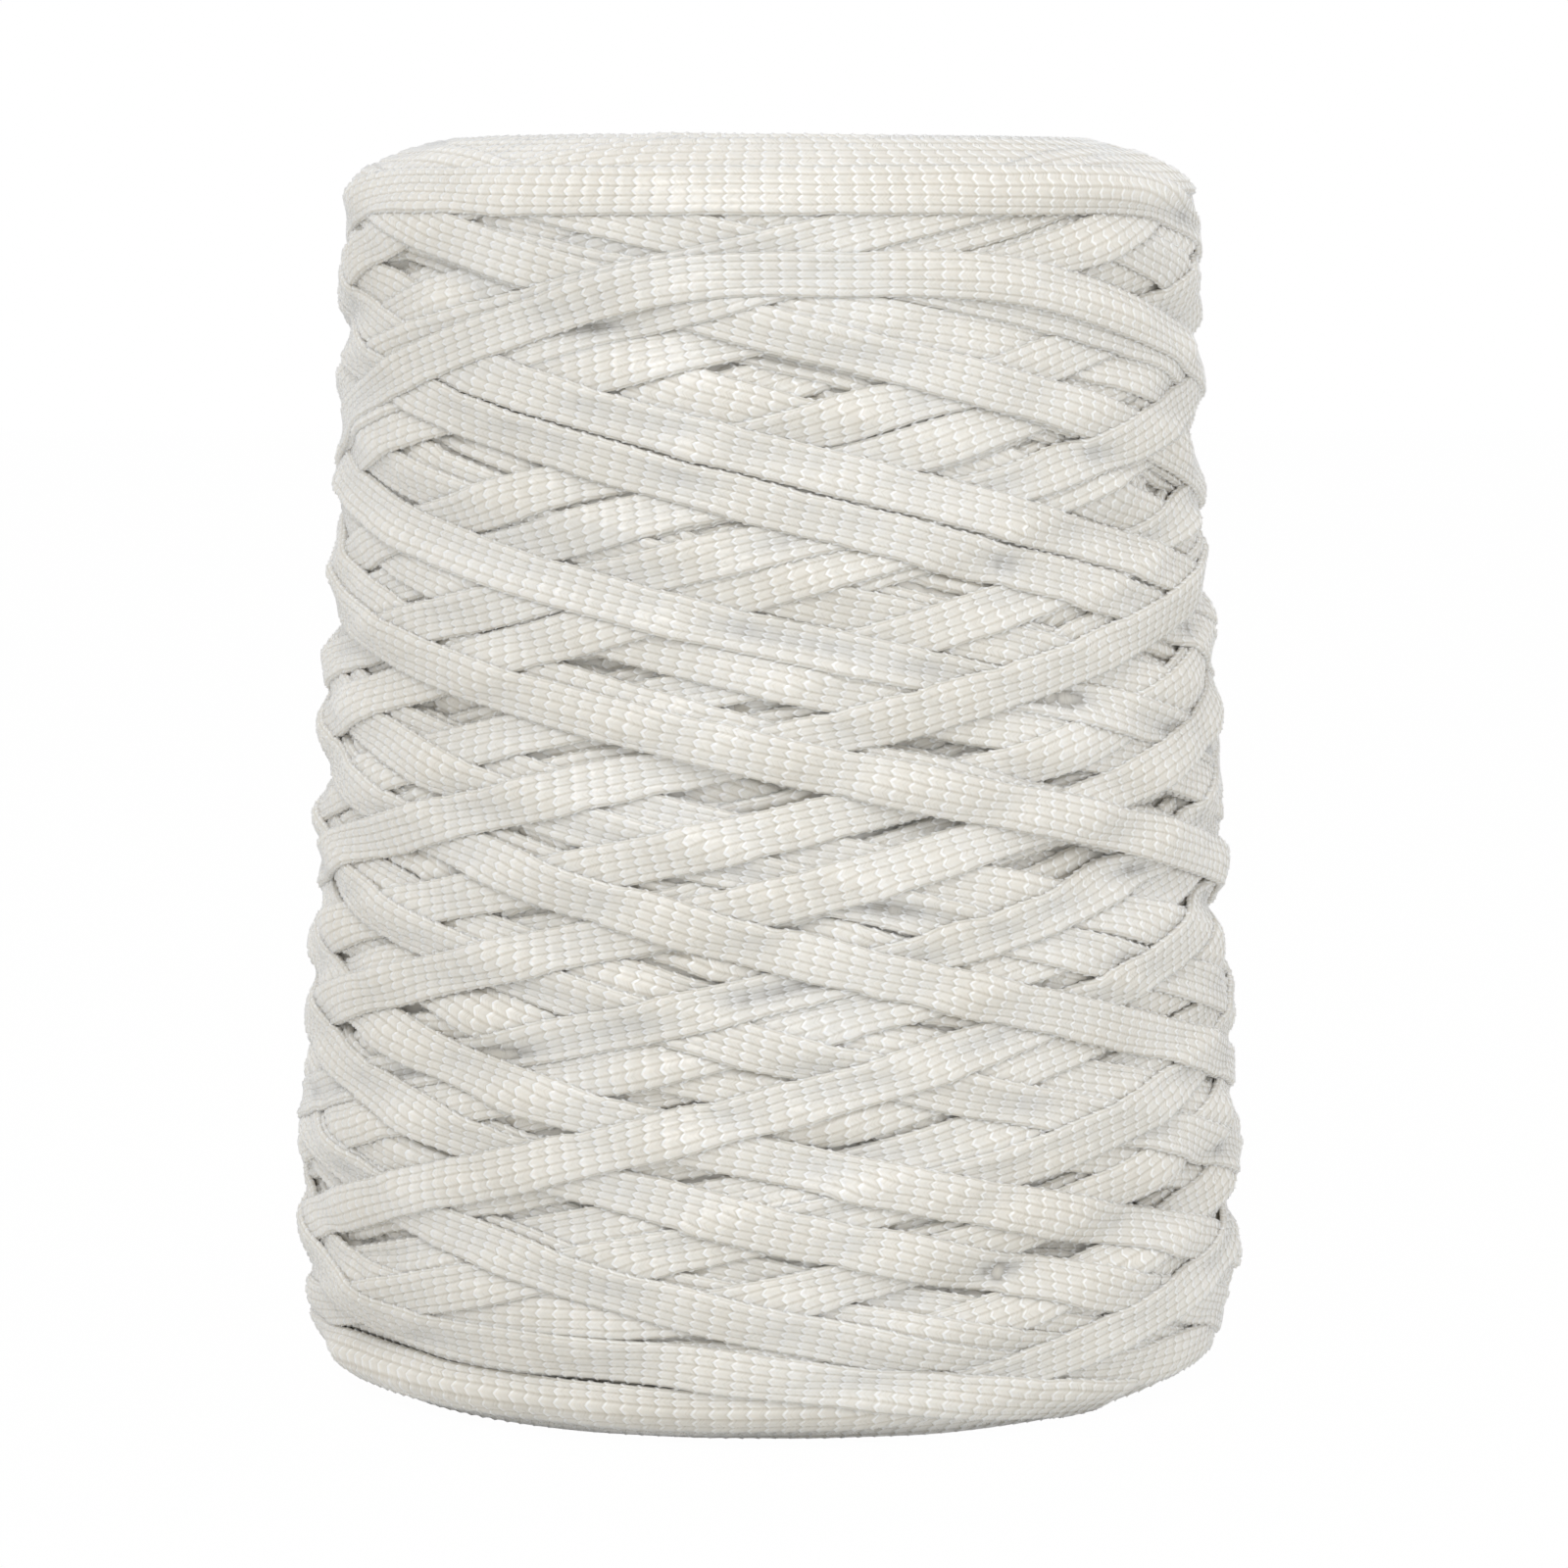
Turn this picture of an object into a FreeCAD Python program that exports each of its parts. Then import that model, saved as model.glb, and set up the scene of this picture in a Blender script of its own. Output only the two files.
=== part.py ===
import FreeCAD, Part
import math
import os
import Sketcher

# A string reel: soft knitted cord cross-wound on a plain cardboard tube, with no flanges.
# +Z runs up the tube, the origin is the middle of the base, and sizes are in millimetres.

SIZES = {
    # The whole package, measured over the finished winding.
    "reel_height": 134.5,
    "base_radius": 52.4,
    "top_radius": 47.2,
    # The cardboard tube that the cord is wound on.
    "tube_bore_radius": 19.0,
    "tube_wall": 2.2,
    "tube_recess": 2.5,
    "tube_clearance": 0.3,
    # The shoulders where the winding rounds over at its two ends.
    "base_shoulder": 5.0,
    "top_shoulder": 4.0,
    # The cord of the outer loops as a round tube, as far round as the flat cord is.
    "cord_diameter": 3.6,
    "seat_gap": 0.3,
    # The gap where strokes cross near a turning point, and how much of the step between the two
    # levels they have left there.
    "crossing_gap": 0.55,
    "crossing_share": 0.85,
    # How far the turning points of the loops stay inside the two ends.
    "base_margin": 8.0,
    "top_margin": 5.5,
    # The traverse: strokes up and down the tube, and the angles that the cord goes round meanwhile.
    "stroke_count": 12,
    "stroke_degrees": 690.0,
    "reversal_degrees": 90.0,
    "runs_per_stroke": 7,
    # Where the first turning point lies: at the back, where both cord ends are out of the way.
    "first_turn_degrees": 90.0,
}

# How the cord's gap to itself is measured: the spacing of the points, the widest gap looked for,
# the length of cord round each point that doesn't count, and the gap that has to be left.
SAMPLE_STEP = 0.5
SEARCH_REACH = 3.0
NEAR_LENGTH_DIAMETERS = 6.0
LEAST_GAP = 0.4

HEIGHT_TOLERANCE = 0.01
DIRECTION_STEP_DEGREES = 0.001


def make_sheet(doc):
    """Writes the driving sizes into a sheet, one aliased cell each."""
    sheet = doc.addObject("Spreadsheet::Sheet", "Sizes")
    for row, (name, value) in enumerate(SIZES.items(), start=1):
        sheet.set(f"A{row}", name)
        sheet.set(f"B{row}", str(value))
        sheet.setAlias(f"B{row}", name)
    doc.recompute()
    return sheet


def new_sketch(body, name, role):
    """Attaches an empty sketch to one of the body's own origin planes."""
    plane = next(item for item in body.Origin.OriginFeatures if item.Role == role)
    sketch = body.newObject("Sketcher::SketchObject", name)
    sketch.AttachmentSupport = [(plane, "")]
    sketch.MapMode = "FlatFace"
    return sketch


def bind_constraint(sketch, constraint, name, expression):
    """Adds a dimension to a sketch and ties it to the sheet."""
    index = sketch.addConstraint(constraint)
    sketch.renameConstraint(index, name)
    sketch.setExpression(f"Constraints.{name}", expression)


def make_winding_tube(doc):
    """The cardboard tube: a plain round wall, square at both ends."""
    body = doc.addObject("PartDesign::Body", "winding_tube")
    sketch = new_sketch(body, "tube_section", "XY_Plane")
    wall = {"bore": "Sizes.tube_bore_radius", "outside": "Sizes.tube_bore_radius + Sizes.tube_wall"}
    for index, (name, radius) in enumerate(wall.items()):
        circle = Part.Circle(FreeCAD.Vector(), FreeCAD.Vector(0, 0, 1), index + 1)
        sketch.addGeometry(circle)
        sketch.addConstraint(Sketcher.Constraint("Coincident", index, 3, -1, 1))
        bind_constraint(sketch, Sketcher.Constraint("Radius", index, index + 1), name, radius)
    length = body.newObject("PartDesign::Pad", "tube_length")
    length.Profile = sketch
    length.setExpression("Length", "Sizes.reel_height - Sizes.tube_recess")
    return body


def circle_edge(shape, height):
    """Names the widest round edge of a turned shape at a height."""
    level = [
        (edge.Curve.Radius, f"Edge{number}")
        for number, edge in enumerate(shape.Edges, start=1)
        if isinstance(edge.Curve, Part.Circle) and abs(edge.Curve.Center.z - height) < HEIGHT_TOLERANCE
    ]
    return max(level)[1]


def make_wound_body(doc, sheet):
    """The hidden layers of cord: a turned cone round the tube, rounded where the layers end."""
    body = doc.addObject("PartDesign::Body", "wound_body")
    sketch = new_sketch(body, "layers_section", "XZ_Plane")
    inner = "Sizes.tube_bore_radius + Sizes.tube_wall + Sizes.tube_clearance"
    level_step = "(Sizes.cord_diameter + Sizes.crossing_gap) / Sizes.crossing_share"
    loops = f"({level_step} + Sizes.cord_diameter + Sizes.seat_gap)"
    corners = [(1, 0), (3, 0), (2, 4), (1, 4)]
    for (x1, z1), (x2, z2) in zip(corners, corners[1:] + corners[:1]):
        sketch.addGeometry(Part.LineSegment(FreeCAD.Vector(x1, z1), FreeCAD.Vector(x2, z2)))
    for side in range(4):
        sketch.addConstraint(Sketcher.Constraint("Coincident", side, 2, (side + 1) % 4, 1))
    sketch.addConstraint(Sketcher.Constraint("PointOnObject", 0, 1, -1))
    sketch.addConstraint(Sketcher.Constraint("Horizontal", 0))
    sketch.addConstraint(Sketcher.Constraint("Horizontal", 2))
    sketch.addConstraint(Sketcher.Constraint("Vertical", 3))
    spans = [
        ("inner_radius", "DistanceX", 0, 1, inner),
        ("base_wall", "DistanceX", 1, 1, f"Sizes.base_radius - {loops}"),
        ("top_wall", "DistanceX", 1, 2, f"Sizes.top_radius - {loops}"),
        ("height", "DistanceY", 1, 2, "Sizes.reel_height"),
    ]
    for name, kind, line, end, expression in spans:
        bind_constraint(sketch, Sketcher.Constraint(kind, -1, 1, line, end, 1.0), name, expression)
    turned = body.newObject("PartDesign::Revolution", "turned_layers")
    turned.Profile = sketch
    turned.ReferenceAxis = (sketch, ["V_Axis"])
    turned.Angle = 360
    doc.recompute()
    previous = turned
    for name, height in (("base_shoulder", 0.0), ("top_shoulder", sheet.reel_height)):
        fillet = body.newObject("PartDesign::Fillet", f"{name}_round")
        fillet.Base = (previous, [circle_edge(previous.Shape, height)])
        fillet.setExpression("Radius", f"Sizes.{name}")
        doc.recompute()
        previous = fillet
    return body


def smooth_step(share):
    """Eases from 0 to 1 with level ends."""
    return share * share * (3 - 2 * share)


def route_point(sheet, degrees):
    """A point of the cord's centre line, from how far round the tube the cord has gone.

    The cord climbs on even strokes and comes down on odd ones, at a steady rate apart from the
    quarter turn round each turning point. It comes down on the outer of two levels, and changes
    level while it turns back, so that strokes cross without meeting.
    """
    stroke, travel = divmod(degrees, sheet.stroke_degrees)
    half_turn = sheet.reversal_degrees / 2
    low = sheet.base_margin
    high = sheet.reel_height - sheet.top_margin
    rate = (high - low) / (sheet.stroke_degrees - half_turn)
    left = sheet.stroke_degrees - travel
    from_end = min(travel, left)
    rise = rate * (travel - half_turn / 2)
    if from_end < half_turn:
        bend = rate * from_end ** 2 / (2 * half_turn)
        rise = bend if travel < left else high - low - bend
    change = smooth_step(0.5 + 0.5 * min(from_end / half_turn, 1.0))
    climbing = int(stroke) % 2 == 0
    height = low + rise if climbing else high - rise
    depth = change if climbing else 1 - change
    surface = sheet.base_radius + (sheet.top_radius - sheet.base_radius) * height / sheet.reel_height
    level_step = (sheet.cord_diameter + sheet.crossing_gap) / sheet.crossing_share
    radius = surface - sheet.cord_diameter / 2 - depth * level_step
    angle = math.radians(degrees + sheet.first_turn_degrees)
    return FreeCAD.Vector(radius * math.cos(angle), radius * math.sin(angle), height)


def route_direction(sheet, degrees):
    """The cord's direction at the same place."""
    before = route_point(sheet, degrees - DIRECTION_STEP_DEGREES)
    after = route_point(sheet, degrees + DIRECTION_STEP_DEGREES)
    return (after - before).normalize()


def arc(start, corner, end):
    """An arc from start to end whose tangents meet at a corner."""
    middle = (start + end) * 0.5
    rise = (corner - middle).Length
    half_chord = (end - start).Length / 2
    turn = math.atan2(rise, half_chord)
    crown = middle + (corner - middle) * (half_chord * math.tan(turn / 2) / rise)
    return Part.Arc(start, crown, end).toShape()


def biarc(start, start_direction, end, end_direction):
    """Two arcs that join smoothly and leave both points in their given directions."""
    chord = end - start
    together = start_direction + end_direction
    square = together.dot(together) - 4
    linear = -2 * chord.dot(together)
    reach = (-linear - math.sqrt(linear ** 2 - 4 * square * chord.dot(chord))) / (2 * square)
    first_corner = start + start_direction * reach
    last_corner = end - end_direction * reach
    join = (first_corner + last_corner) * 0.5
    return [arc(start, first_corner, join), arc(join, last_corner, end)]


def route_stations(sheet):
    """The angles at which one biarc ends and the next begins, each about a quarter turn on."""
    half_turn = sheet.reversal_degrees / 2
    straight = sheet.stroke_degrees - sheet.reversal_degrees
    run = straight / sheet.runs_per_stroke
    stations = []
    for stroke in range(int(sheet.stroke_count)):
        begin = stroke * sheet.stroke_degrees + half_turn
        stations += [begin + run * number for number in range(int(sheet.runs_per_stroke) + 1)]
    return stations


def least_gap(edges, diameter):
    """Measures how near the cord comes to itself, skin to skin, from points along its centre line."""
    reach = diameter + SEARCH_REACH
    cells = {}
    travelled = 0.0
    nearest = reach
    for edge in edges:
        count = max(2, int(edge.Length / SAMPLE_STEP) + 1)
        for number, point in enumerate(edge.discretize(Number=count)[:-1]):
            along = travelled + edge.Length * number / (count - 1)
            cell = tuple(int(value // reach) for value in point)
            around = (
                (cell[0] + i, cell[1] + j, cell[2] + k)
                for i in (-1, 0, 1) for j in (-1, 0, 1) for k in (-1, 0, 1)
            )
            for other_cell in around:
                for other_along, other in cells.get(other_cell, ()):
                    if along - other_along > NEAR_LENGTH_DIAMETERS * diameter:
                        nearest = min(nearest, (point - other).Length)
            cells.setdefault(cell, []).append((along, point))
        travelled += edge.Length
    return nearest - diameter


def make_outer_winding(doc, sheet):
    """The outer loops: one unbroken cord, with both of its ends straight for one diameter."""
    diameter = sheet.cord_diameter
    stations = route_stations(sheet)
    points = [route_point(sheet, station) for station in stations]
    directions = [route_direction(sheet, station) for station in stations]
    edges = [Part.LineSegment(points[0] - directions[0] * diameter, points[0]).toShape()]
    for number in range(len(stations) - 1):
        edges += biarc(points[number], directions[number], points[number + 1], directions[number + 1])
    edges.append(Part.LineSegment(points[-1], points[-1] + directions[-1] * diameter).toShape())
    bends = [edge.Curve.Radius for edge in edges[1:-1]]
    gap = least_gap(edges, diameter)
    length = sum(edge.Length for edge in edges)
    section = Part.Circle(points[0] - directions[0] * diameter, directions[0], diameter / 2).toShape()
    cord = Part.Wire(edges).makePipeShell([Part.Wire([section])], True, False, 0)
    print(f"outer winding: {(stations[-1] - stations[0]) / 360:.2f} loops, {length:.0f} mm of cord")
    print(f"tightest bend {min(bends):.1f} mm, least gap to itself {gap:.2f} mm")
    print(f"volume {cord.Volume:.0f} mm3, section times length {math.pi * diameter ** 2 / 4 * length:.0f} mm3")
    if gap <= LEAST_GAP:
        raise RuntimeError(f"the outer winding comes within {gap:.2f} mm of itself")
    feature = doc.addObject("Part::Feature", "outer_winding")
    feature.Shape = cord
    feature.Placement = FreeCAD.Placement()
    return feature


def check(doc, parts):
    """Stops before anything is written if an object failed or a sub-part has no sound solid."""
    failed = [item.Name for item in doc.Objects if "Invalid" in item.State or "Error" in item.State]
    broken = [part.Label for part in parts if part.Shape.isNull() or not part.Shape.isValid()]
    if failed or broken:
        raise RuntimeError(f"failed objects {failed}, unsound shapes {broken}")


def main():
    """Builds the reel and writes one file for each sub-part."""
    doc = FreeCAD.newDocument("string_reel")
    sheet = make_sheet(doc)
    parts = [make_winding_tube(doc), make_wound_body(doc, sheet), make_outer_winding(doc, sheet)]
    doc.recompute()
    check(doc, parts)
    os.makedirs("parts", exist_ok=True)
    for part in parts:
        part.Shape.exportStep(f"parts/{part.Label}.step")
        print(f"{part.Label}: {part.Shape.Volume:.0f} mm3, {part.Shape.BoundBox}")


main()
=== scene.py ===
"""String reel: flat knitted cord, cross-wound into a conical package on a cardboard tube.

The cord is laid over the tube one stroke after another, as a winding machine lays it. Each stroke
is pulled taut over what lies under it, and the loops that show are then knitted stitch by stitch.
"""

import logging
import math
from dataclasses import dataclass, field
from enum import Enum
from typing import Any

import bpy
import numpy as np
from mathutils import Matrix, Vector


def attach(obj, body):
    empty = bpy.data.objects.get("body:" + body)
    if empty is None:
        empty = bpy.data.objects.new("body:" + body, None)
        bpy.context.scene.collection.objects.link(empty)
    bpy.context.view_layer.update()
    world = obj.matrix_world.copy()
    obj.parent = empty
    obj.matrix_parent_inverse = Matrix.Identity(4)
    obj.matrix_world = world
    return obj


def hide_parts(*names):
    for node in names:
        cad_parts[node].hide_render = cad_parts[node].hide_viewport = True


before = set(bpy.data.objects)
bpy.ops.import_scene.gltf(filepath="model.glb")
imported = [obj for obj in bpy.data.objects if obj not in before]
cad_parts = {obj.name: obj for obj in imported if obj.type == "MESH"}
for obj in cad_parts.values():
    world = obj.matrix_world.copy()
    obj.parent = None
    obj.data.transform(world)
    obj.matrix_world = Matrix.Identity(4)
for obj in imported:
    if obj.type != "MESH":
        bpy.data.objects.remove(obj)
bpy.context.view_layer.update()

LOG = logging.getLogger("string_reel")
MM = 0.001
Array = np.ndarray
Pair = tuple[float, float]
# Corners of the cord's way round the reel, as pairs of angle and height
Route = list[Pair]
Place = tuple[float, float, float]
# Share of the cord's width between its outermost lanes
LANE_SPAN = 0.94
# Marks a cell of an end map that no cord crosses
EMPTY = -999.0
# Cost that any stroke undercuts
WORST = 99.0


class Lay(Enum):
    """Which way a stroke of the cord climbs as it goes round the reel."""

    UP = 1
    DOWN = -1


class Shading(Enum):
    """Kinds of shader node that the finishes join together."""

    SURFACE = "ShaderNodeBsdfPrincipled"
    OUTPUT = "ShaderNodeOutputMaterial"
    MATH = "ShaderNodeMath"
    VECTOR_MATH = "ShaderNodeVectorMath"
    NOISE = "ShaderNodeTexNoise"
    RAMP = "ShaderNodeValToRGB"
    BUMP = "ShaderNodeBump"
    SPLIT = "ShaderNodeSeparateXYZ"
    JOIN = "ShaderNodeCombineXYZ"
    PLACE = "ShaderNodeTexCoord"
    MIX = "ShaderNodeMixShader"
    BACKDROP = "ShaderNodeBackground"
    ATTRIBUTE = "ShaderNodeAttribute"
    RANGE = "ShaderNodeMapRange"
    GEOMETRY = "ShaderNodeNewGeometry"
    DIFFUSE = "ShaderNodeBsdfDiffuse"
    EMISSION = "ShaderNodeEmission"
    RAY = "ShaderNodeLightPath"
    WORLD_OUTPUT = "ShaderNodeOutputWorld"


def srgb(code: str) -> tuple[float, float, float, float]:
    """Turns an sRGB hex colour to the linear values that Blender works in.

    Args:
        code: six hex digits.

    Returns:
        Linear red, green, blue and a full alpha.
    """
    parts = [int(code[i : i + 2], 16) / 255 for i in (0, 2, 4)]
    low = [p / 12.92 if p <= 0.04045 else ((p + 0.055) / 1.055) ** 2.4 for p in parts]
    return (low[0], low[1], low[2], 1.0)


@dataclass
class Nodes:
    """Joins up the nodes of one material or world, after emptying it."""

    owner: bpy.types.Material | bpy.types.World

    def __post_init__(self) -> None:
        """Empties the node tree."""
        self.owner.use_nodes = True
        self.owner.node_tree.nodes.clear()

    def add(self, kind: Shading, links: dict[Any, Any] | None = None, **settings: Any) -> Any:
        """Adds one node with its settings and its links.

        Args:
            kind: the node's kind.
            links: for each input, by name or number, a socket to link or a value to set.
            settings: the node's own properties.

        Returns:
            The new node.
        """
        tree = self.owner.node_tree
        node = tree.nodes.new(kind.value)
        for name, value in settings.items():
            setattr(node, name, value)
        for key, value in (links or {}).items():
            socket = node.inputs[key]
            if isinstance(value, bpy.types.NodeSocket):
                tree.links.new(value, socket)
            else:
                socket.default_value = value
        return node

    def math(self, operation: str, *values: Any, **settings: Any) -> Any:
        """Adds a step of arithmetic on sockets or numbers, and gives its result's socket."""
        return self.add(Shading.MATH, dict(enumerate(values)), operation=operation, **settings).outputs[0]

    def noise(self, vector: Any, scale: float, detail: float) -> Any:
        """Adds a noise over a vector, and gives its value's socket."""
        return self.add(Shading.NOISE, {"Vector": vector, "Scale": scale, "Detail": detail}).outputs[0]

    def ramp(self, value: Any, *stops: tuple[float, str]) -> Any:
        """Adds a colour ramp.

        Args:
            value: the socket that drives it.
            stops: pairs of place and sRGB hex colour.

        Returns:
            The ramp's colour socket.
        """
        node = self.add(Shading.RAMP, {0: value})
        elements = node.color_ramp.elements
        while len(elements) < len(stops):
            elements.new(0.5)
        for element, (place, code) in zip(elements, stops):
            element.position = place
            element.color = srgb(code)
        return node.outputs[0]

    def surface(self, height: Any, strength: float, depth_mm: float, **values: Any) -> None:
        """Ends a material in a bumped surface.

        Args:
            height: the socket that raises the surface.
            strength: the bump's strength.
            depth_mm: the bump's depth.
            values: the surface's inputs, with _ for each space in their names.
        """
        bump = self.add(Shading.BUMP, {"Strength": strength, "Distance": depth_mm * MM, "Height": height})
        inputs = {name.replace("_", " "): value for name, value in values.items()}
        shader = self.add(Shading.SURFACE, inputs | {"Normal": bump.outputs[0]})
        self.add(Shading.OUTPUT, {0: shader.outputs[0]})


@dataclass(frozen=True)
class KnittedPolyester:
    """Filament polyester, weft-knitted into a narrow tube and pressed flat.

    Bright round filaments give a satin glint on top of each stitch. Light goes some way into the
    yarn and out again, so the shadows between the loops stay warm and soft. The colour holds
    painted light too: a painted highlight on the crown of each stitch and painted shade in the
    grooves between the loops.
    """

    # painted light: the crown colour is a painted highlight and the groove colour is painted shade; body is
    # the yarn's own colour
    crown: str = "FDFDFC"
    body: str = "E3E0D9"
    groove_painted_shade: str = "CDC8BD"
    roughness: float = 0.3
    ior: float = 1.5
    filament_mm: float = 0.11
    filament_depth_mm: float = 0.05
    filament_tone: float = 0.3
    drift_tone: float = 0.35
    drift_per_metre: float = 60.0
    scatter_mm: float = 1.8

    def material(self) -> bpy.types.Material:
        """Builds the knitted cord's material."""
        mat = bpy.data.materials.new("knitted_polyester_cord")
        nodes = Nodes(mat)
        # stitch holds the place along the cord and across it in mm, and the height on the stitch
        stitch = nodes.add(Shading.ATTRIBUTE, attribute_name="stitch")
        along, across, height = nodes.add(Shading.SPLIT, {0: stitch.outputs["Vector"]}).outputs
        # filaments run along the stitch's legs, where the place along the cord stays the same
        along = nodes.math("MULTIPLY", along, 1 / self.filament_mm)
        across = nodes.math("MULTIPLY", across, 0.9)
        thread = nodes.add(Shading.JOIN, {0: along, 1: across}).outputs[0]
        strands = nodes.noise(thread, 0.55, 2.0)
        # yarn takes up a little more or less light every few centimetres
        drift = nodes.noise(nodes.add(Shading.PLACE).outputs["Object"], self.drift_per_metre, 3.0)
        tone = nodes.math("MULTIPLY_ADD", strands, self.filament_tone, -self.filament_tone / 2)
        shade = nodes.math("MULTIPLY_ADD", drift, self.drift_tone, -0.17)
        # painted light: the ramp follows the height on the stitch, so the grooves get painted shade and the
        # crowns a painted highlight
        level = nodes.math("ADD", nodes.math("ADD", height, tone), shade, use_clamp=True)
        nodes.surface(
            strands, 0.55, self.filament_depth_mm,
            Base_Color=nodes.ramp(level, (0.1, self.groove_painted_shade), (0.42, self.body), (0.75, self.crown)),
            Roughness=nodes.math("MULTIPLY_ADD", strands, 0.22, self.roughness - 0.11),
            IOR=self.ior,
            Subsurface_Weight=0.5,
            Subsurface_Radius=(1.0, 0.92, 0.82),
            Subsurface_Scale=self.scatter_mm * MM,
            Sheen_Weight=0.3,
            Sheen_Roughness=0.35,
        )
        return mat


@dataclass(frozen=True)
class SpiralBoard:
    """Grey-brown kraft board, wound in a spiral and glued into a tube.

    It gives a matt, faintly fibrous skin with a fine butt seam that climbs round it, and thin
    plies that show as rings on the cut ends.
    """

    face: str = "B69E81"
    dark: str = "9C8468"
    light: str = "C6B195"
    roughness: float = 0.88
    ply_width_mm: float = 55.0
    seam_mm: float = 0.35
    fibre_mm: float = 0.35
    ply_mm: float = 0.45
    depth_mm: float = 0.12
    blots_per_metre: float = 110.0

    def material(self) -> bpy.types.Material:
        """Builds the cardboard's material."""
        mat = bpy.data.materials.new("spiral_wound_kraft_board")
        nodes = Nodes(mat)
        coord = nodes.add(Shading.PLACE).outputs["Object"]
        x, y, z = nodes.add(Shading.SPLIT, {0: coord}).outputs
        # the seam climbs one ply width for each turn
        climb = nodes.math("MULTIPLY", nodes.math("ARCTAN2", y, x), 1 / math.tau)
        cycle = nodes.math("FRACT", nodes.math("MULTIPLY_ADD", z, 1 / (self.ply_width_mm * MM), climb))
        near = nodes.math("ABSOLUTE", nodes.math("SUBTRACT", cycle, 0.5))
        limits = {0: near, 1: 0.0, 2: self.seam_mm / self.ply_width_mm, 3: 1.0, 4: 0.0}
        seam = nodes.add(Shading.RANGE, limits).outputs[0]
        size = 1 / (self.fibre_mm * MM)
        stretch, flat = (
            nodes.add(Shading.VECTOR_MATH, {0: coord, 1: by}, operation="MULTIPLY").outputs[0]
            for by in ((size, size, size * 0.2), (1.0, 1.0, 0.0))
        )
        fibres = nodes.noise(stretch, 0.5, 4.0)
        blots = nodes.noise(coord, self.blots_per_metre, 2.0)
        # plies show as rings on the cut end only
        reach = nodes.add(Shading.VECTOR_MATH, {0: flat}, operation="LENGTH").outputs["Value"]
        ring = nodes.math("SINE", nodes.math("MULTIPLY", reach, math.tau / (self.ply_mm * MM)))
        normal = nodes.add(Shading.GEOMETRY).outputs["Normal"]
        facing = nodes.add(Shading.SPLIT, {0: normal}).outputs[2]
        on_end = nodes.math("GREATER_THAN", nodes.math("ABSOLUTE", facing), 0.9)
        plies = nodes.math("MULTIPLY", ring, on_end)
        level = nodes.math("MULTIPLY_ADD", fibres, 0.7, 0.15)
        for part, share in ((blots, 0.3), (plies, 0.14), (seam, -0.5)):
            level = nodes.math("MULTIPLY_ADD", part, share, level)
        colour = nodes.ramp(level, (0.15, self.dark), (0.55, self.face), (0.95, self.light))
        nodes.surface(level, 0.5, self.depth_mm, Base_Color=colour, Roughness=self.roughness)
        return mat


@dataclass(frozen=True)
class KnittedCord:
    """Sizes of the flat knitted cord, in millimetres, and the form of one stitch."""

    width: float = 4.85
    thickness: float = 1.34
    wale: float = 0.91
    wales: int = 7
    course: float = 1.85
    apex: float = 0.28
    relief: float = 0.3
    row_at: tuple[float, ...] = (0.0, 0.11, 0.24, 0.5, 0.86)
    row_rise: tuple[float, ...] = (0.32, 1.0, 0.52, 0.46, 0.4)
    column_at: tuple[float, ...] = (0.0, 0.2, 0.5, 0.8)
    column_rise: tuple[float, ...] = (0.3, 1.0, 0.84, 0.95)


@dataclass(frozen=True)
class Package:
    """Outline of the wound package: the radius of its skin at each height, in millimetres."""

    height: float = 134.5
    tube: float = 21.4
    skin: tuple[Pair, ...] = (
        (0.0, 48.4), (1.5, 49.5), (4.0, 50.7), (8.0, 51.8), (12.0, 52.5), (20.0, 52.6), (30.0, 52.4),
        (40.0, 51.5), (60.0, 50.6), (70.0, 50.2), (80.0, 49.4), (90.0, 48.7), (100.0, 47.9),
        (124.0, 47.5), (129.0, 46.9), (132.0, 45.4), (134.0, 42.4), (134.5, 40.4),
    )
    foot: float = 46.0
    shoulder: float = 44.0
    dish: float = 3.0
    dish_from: float = 39.0

    def radius(self, height: Array) -> Array:
        """Radius of the skin at each height."""
        z, r = np.array(self.skin).T
        return np.interp(height, z, r)

    def ends(self, share: float) -> Pair:
        """Lowest and highest place that an edge of cord may reach.

        Args:
            share: how much of the cord is wound by then, from 0 to 1.

        Returns:
            The two heights, in mm.
        """
        z, r = np.array(self.skin).T
        foot, crown = (
            math.sqrt(self.tube**2 + share * (edge**2 - self.tube**2)) for edge in (self.foot, self.shoulder)
        )
        low = float(np.interp(foot, r[:5], z[:5]))
        high = float(np.interp(crown, r[::-1][:5], z[::-1][:5]))
        hollow = self.dish * min(max((self.dish_from - crown) / 17.6, 0.0), 1.0) ** 1.4
        return low + 0.5 * hollow, high - hollow


@dataclass(frozen=True)
class Stroke:
    """One stroke of cord: the way it climbs, where it crosses the front, and its pitch in mm a turn."""

    lay: Lay
    front: float
    pitch: float

    def enter(self, before: float) -> float:
        """Its height some degrees before the front."""
        return self.front - self.lay.value * self.pitch * before / 360


# The strokes that show most at the front, the outermost first, going down and up by turns: where
# each crosses the front in mm, and its pitch in mm a turn
FRONT_STROKES: tuple[Stroke, ...] = tuple(
    Stroke(Lay.UP if number % 2 else Lay.DOWN, *sizes)
    for number, sizes in enumerate(
        (
            (70.8, 66), (72.3, 70), (52.0, 80), (35.5, 84), (96.7, 72), (56.6, 75), (30.0, 72), (47.5, 76),
            (83.6, 66), (93.3, 66), (41.5, 77), (89.4, 80), (73.0, 70), (64.0, 72), (58.7, 75), (104.0, 70),
            (79.4, 68), (80.0, 72), (62.6, 66), (115.0, 70), (114.5, 72), (99.0, 72), (88.0, 70), (58.0, 72),
        )
    )
)


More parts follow.
